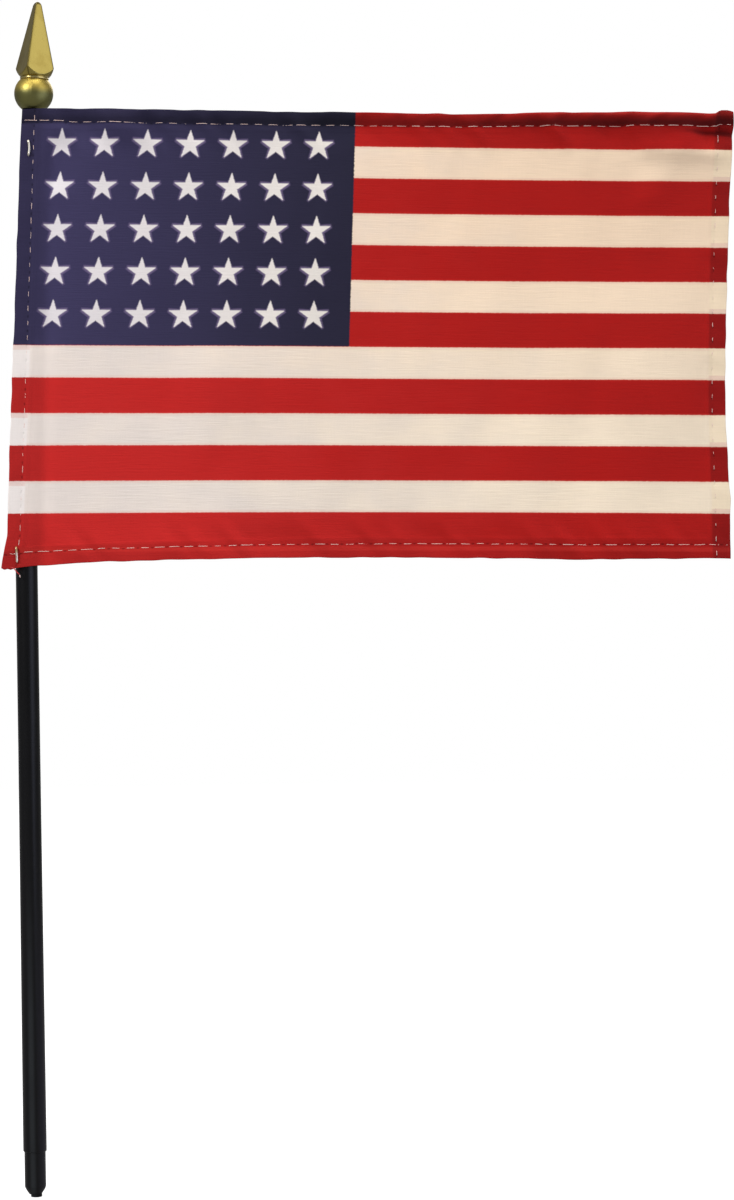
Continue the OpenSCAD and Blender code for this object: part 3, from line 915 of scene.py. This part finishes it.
# Height and radius at each step of the staff's foot, in mm
FOOT_PROFILE = [
    (0.0, 0.9), (0.0, 1.08), (0.05, 1.17), (0.12, 1.2), (0.58, 1.2), (NUB_H, 1.24), (0.62, 1.32), (1.2, 1.74),
    (1.7, 2.05), (2.1, 2.23), (2.3, 2.28), (2.6, 2.285), (5.0, 2.285), (9.7, 2.285), (SHOULDER_Z, 2.285),
    (SHOULDER_Z, 2.37), (9.84, 2.46), (9.91, 2.51), (10.0, SHANK_R),
]


def make_staff():
    sides = 96
    angle = np.arange(sides) * 2 * math.pi / sides
    taper_end = STRAIGHT_L - 38
    profile = list(FOOT_PROFILE)
    for z in np.linspace(12, taper_end, 26):
        profile.append((z, SHANK_R + (STAFF_R - SHANK_R) * (z - SHOULDER_Z) / (taper_end - SHOULDER_Z)))
    for z in np.linspace(taper_end + 3, STRAIGHT_L, 12):
        profile.append((z, STAFF_R))
    seam = parting_line(angle, 2.3, 0.14, 0.02)
    rings = []
    for z, r in profile:
        rings.append(ring_at(r + seam * (z > SHOULDER_Z), angle, float(z), NUB_SHIFT * (z <= NUB_H)))
    from_bend = BEND_R - (STAFF_R + seam) * np.cos(angle)
    y = (STAFF_R + seam) * np.sin(angle)
    for turn in np.linspace(0, BEND_ANGLE, 50)[1:]:
        x, z = BEND_R - from_bend * math.cos(turn), STRAIGHT_L + from_bend * math.sin(turn)
        rings.append(np.stack([x, y, z], axis=1))
    end = rings[-1]
    axis = np.array([math.sin(BEND_ANGLE), 0, math.cos(BEND_ANGLE)])
    centre = end.mean(axis=0)
    tenon = TENON_R / STAFF_R
    for share, rise in ((tenon, 0.0), (tenon, TENON_L - 0.2), (tenon * 0.9, TENON_L)):
        rings.append(centre + (end - centre) * share + axis * rise)
    return rings_mesh("plastic_staff", rings, in_metres)


WIRE_R, WIRE_BEND = 0.25, 0.4


def make_staple(name, node, bow):
    """A bent wire through the CAD staple's own crown and legs. The crown bulges bow mm towards the fly."""
    pts = node_points(node)
    low, high = pts.min(axis=0), pts.max(axis=0)
    front = low[1] + WIRE_R
    crown = pts[pts[:, 1] < front]
    top, bottom = crown[np.argmax(crown[:, 2])], crown[np.argmin(crown[:, 2])]
    along = (top - bottom)[[0, 2]]
    along /= np.linalg.norm(along)
    middle = (low + high)[[0, 2]] / 2
    half = (high[2] - low[2]) / 2 / along[1] - WIRE_R
    path = []
    for y in np.linspace(high[1] - 0.05, front + WIRE_BEND, 9):
        path.append((half, y))
    for t in np.linspace(0, math.pi / 2, 9)[1:]:
        path.append((half - WIRE_BEND + WIRE_BEND * math.cos(t), front + WIRE_BEND - WIRE_BEND * math.sin(t)))
    path += [(-u, y) for u, y in reversed(path)]
    filled = []
    for (u0, y0), (u1, y1) in zip(path[:-1], path[1:]):
        steps = max(1, int(abs(u1 - u0) / 0.15))
        filled += [(u0 + (u1 - u0) * i / steps, y0 + (y1 - y0) * i / steps) for i in range(steps)]
    filled.append(path[-1])
    points = []
    for u, y in filled:
        aside = bow * (1 - (u / half) ** 2) - bow / 3
        points.append((middle[0] + along[0] * u + aside, y, middle[1] + along[1] * u))
    return tube(name, np.array(points) * MM, WIRE_R * MM, sides=14, up=(1.0, 0.0, 0.0))


# ---------------------------------------------------------------- making and riding


def bends_at_fold(obj):
    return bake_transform(obj)


def wears(obj, material):
    obj.data.materials.clear()
    obj.data.materials.append(material)


staff = make_staff()
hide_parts("staff")
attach(staff, STAFF_BODY)
wears(staff, staff_material())

finial = make_finial()
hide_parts("finial")
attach(finial, STAFF_BODY)
wears(finial, gold_material())

wire = wire_material()
for place, bow in (("upper", 0.2), ("lower", 0.05)):
    staple = make_staple(f"wire_staple_{place}", f"staple_{place}", bow)
    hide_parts(f"staple_{place}")
    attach(staple, STAFF_BODY)
    wears(staple, wire)

cloth = make_cloth()
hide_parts("hoist_strip", "flag_field")
bends_at_fold(cloth)
wears(cloth, cloth_material())

cotton = thread_material("sewing_thread", rgb(253, 230, 222), rgb(196, 140, 132))
for edge, seam in SEAMS.items():
    # a bobbin stitch shows on the back between two needle stitches on the front
    for kind, side, phase in (("needle", -1, 0.0), ("bobbin", 1, 0.5)):
        strand = seam_thread(f"{edge}_{kind}", seam, side, HALF_SHOWN[edge], phase)
        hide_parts(f"{edge}_{kind}_thread")
        if edge == "hoist":
            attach(strand, STAFF_BODY)
        elif edge == "fly":
            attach(strand, FLAG_BODY)
        else:
            bends_at_fold(strand)
        wears(strand, cotton)

# the frayed end of red thread that hangs from the lower hoist corner, with a pale tip
TAIL_R, TAIL_TWIST = 0.11, 0.8
TAIL_POINTS, TIP_FROM = 40, 31
seam_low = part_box("hoist_needle_thread")[0]
tail_start = np.array([BOTTOM_HOIST[0] + 1.4, FRONT_Y - 0.05, BOTTOM_HOIST[1] + 0.2])
tail_end = np.array([-1.15, FRONT_Y - 0.1, seam_low[2] / MM - 0.35])
share = np.linspace(0, 1, TAIL_POINTS)[:, None]
curl = np.sin(share * math.pi) * np.array([0.35, -0.12, 0.30])
curl = curl + np.sin(share * 9) * np.array([0.10, 0.04, 0.05])
tail_path = (tail_start + (tail_end - tail_start) * share + curl) * MM
for name, path, colours in (
    ("frayed_tail", tail_path[:TIP_FROM + 2], (rgb(200, 40, 44), rgb(150, 24, 30))),
    ("frayed_tail_tip", tail_path[TIP_FROM:], (rgb(236, 216, 212), rgb(214, 150, 146))),
):
    tail = tube(name, path, TAIL_R * MM, twist=TAIL_TWIST * MM)
    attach(tail, STAFF_BODY)
    wears(tail, thread_material(name, *colours))


# ---------------------------------------------------------------- stage, light and camera

def seen_or_lighting(tree, seen, lighting):
    """A brightness for the stage: one for what the camera sees, and a dimmer one for the light it gives."""
    path = tree.nodes.new("ShaderNodeLightPath")
    pick = tree.nodes.new("ShaderNodeMapRange")
    pick.inputs["To Min"].default_value = lighting
    pick.inputs["To Max"].default_value = seen
    tree.links.new(path.outputs["Is Camera Ray"], pick.inputs["Value"])
    return pick.outputs["Result"]


FLOOR_R = 1.6
FLOOR_SEEN, FLOOR_LIGHTING = 0.9, 0.04
WORLD_SEEN, WORLD_LIGHTING = 1.0, 0.30


def make_floor():
    sides = 96
    verts = [(0, 0, 0)]
    faces = []
    for ring in (FLOOR_R / 12, FLOOR_R / 3, FLOOR_R):
        for i in range(sides):
            turn = i * 2 * math.pi / sides
            verts.append((ring * math.cos(turn), ring * math.sin(turn), 0))
    for i in range(sides):
        j = (i + 1) % sides
        faces.append((0, 1 + i, 1 + j))
        for ring in (0, 1):
            a, b = 1 + ring * sides, 1 + (ring + 1) * sides
            faces.append((a + i, b + i, b + j, a + j))
    floor = new_object("floor", verts, faces)
    g = Graph("pale_floor", Specular_IOR_Level=0.1)
    g.shader.inputs["Emission Color"].default_value = (1, 1, 1, 1)
    glow = seen_or_lighting(g.material.node_tree, FLOOR_SEEN, FLOOR_LIGHTING)
    g.links.new(glow, g.shader.inputs["Emission Strength"])
    floor.data.materials.append(g.finish((0.34, 0.34, 0.34, 1), 0.9))
    floor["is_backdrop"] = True


make_floor()


def area_light(name, place, aim, size, watts, colour=(1, 1, 1), only_gloss=False):
    data = bpy.data.lights.new(name, "AREA")
    data.shape, data.size, data.size_y = "RECTANGLE", size[0], size[1]
    data.energy, data.color = watts, colour
    light = bpy.data.objects.new(name, data)
    light.location = place
    light.visible_camera, light.visible_diffuse = False, not only_gloss
    light.rotation_euler = (Vector(aim) - Vector(place)).to_track_quat("-Z", "Z").to_euler()
    bpy.context.scene.collection.objects.link(light)


low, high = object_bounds()
MIDDLE = (np.array(low) + np.array(high)) / 2
FLAG_MIDDLE = (MIDDLE[0], FRONT_Y * MM, 0.185)
area_light("key", (-0.85, -0.80, 0.90), FLAG_MIDDLE, (0.5, 0.5), 13.2, (0.98, 0.98, 1.0))
area_light("side", (0.80, -0.47, 0.62), FLAG_MIDDLE, (0.7, 0.8), 2.8, (0.96, 0.96, 1.0))
area_light("top", (0.05, -0.20, 1.3), FLAG_MIDDLE, (0.9, 0.6), 8.0, (1.0, 0.97, 0.92))
area_light("strip", (0.24, -0.14, 0.17), (0, 0, 0.17), (0.14, 0.34), 0.24, (0.66, 0.72, 1.0), only_gloss=True)
area_light("back", (0.2, 1.1, 0.8), FLAG_MIDDLE, (0.9, 0.7), 6.0)

world = bpy.data.worlds.new("studio")
bpy.context.scene.world = world
world.use_nodes = True
background = world.node_tree.nodes["Background"]
glow = seen_or_lighting(world.node_tree, WORLD_SEEN, WORLD_LIGHTING)
world.node_tree.links.new(glow, background.inputs["Strength"])
background.inputs["Color"].default_value = (1, 1, 1, 1)

# The camera looks straight at the flag from far off, rolled a little, with this height in view
VIEW_AIM = Vector((0.07324, FRONT_Y * MM, 0.1275))
VIEW_ROLL = 0.01443
VIEW_HEIGHT = 0.2575
camera_data = bpy.data.cameras.new("camera")
camera_data.lens, camera_data.sensor_width, camera_data.sensor_fit = 100, 36, "AUTO"
camera_data.clip_start, camera_data.clip_end = 0.01, 50
distance = camera_data.lens / camera_data.sensor_width * VIEW_HEIGHT
camera = bpy.data.objects.new("camera", camera_data)
right, up = Vector((1, 0, -VIEW_ROLL)).normalized(), Vector((VIEW_ROLL, 0, 1)).normalized()
toward_camera = right.cross(up)
turn = Matrix((right, up, toward_camera)).transposed().to_4x4()
camera.matrix_world = Matrix.Translation(VIEW_AIM + toward_camera * distance) @ turn
bpy.context.scene.collection.objects.link(camera)
bpy.context.scene.camera = camera
bpy.context.scene.view_settings.view_transform = "Standard"
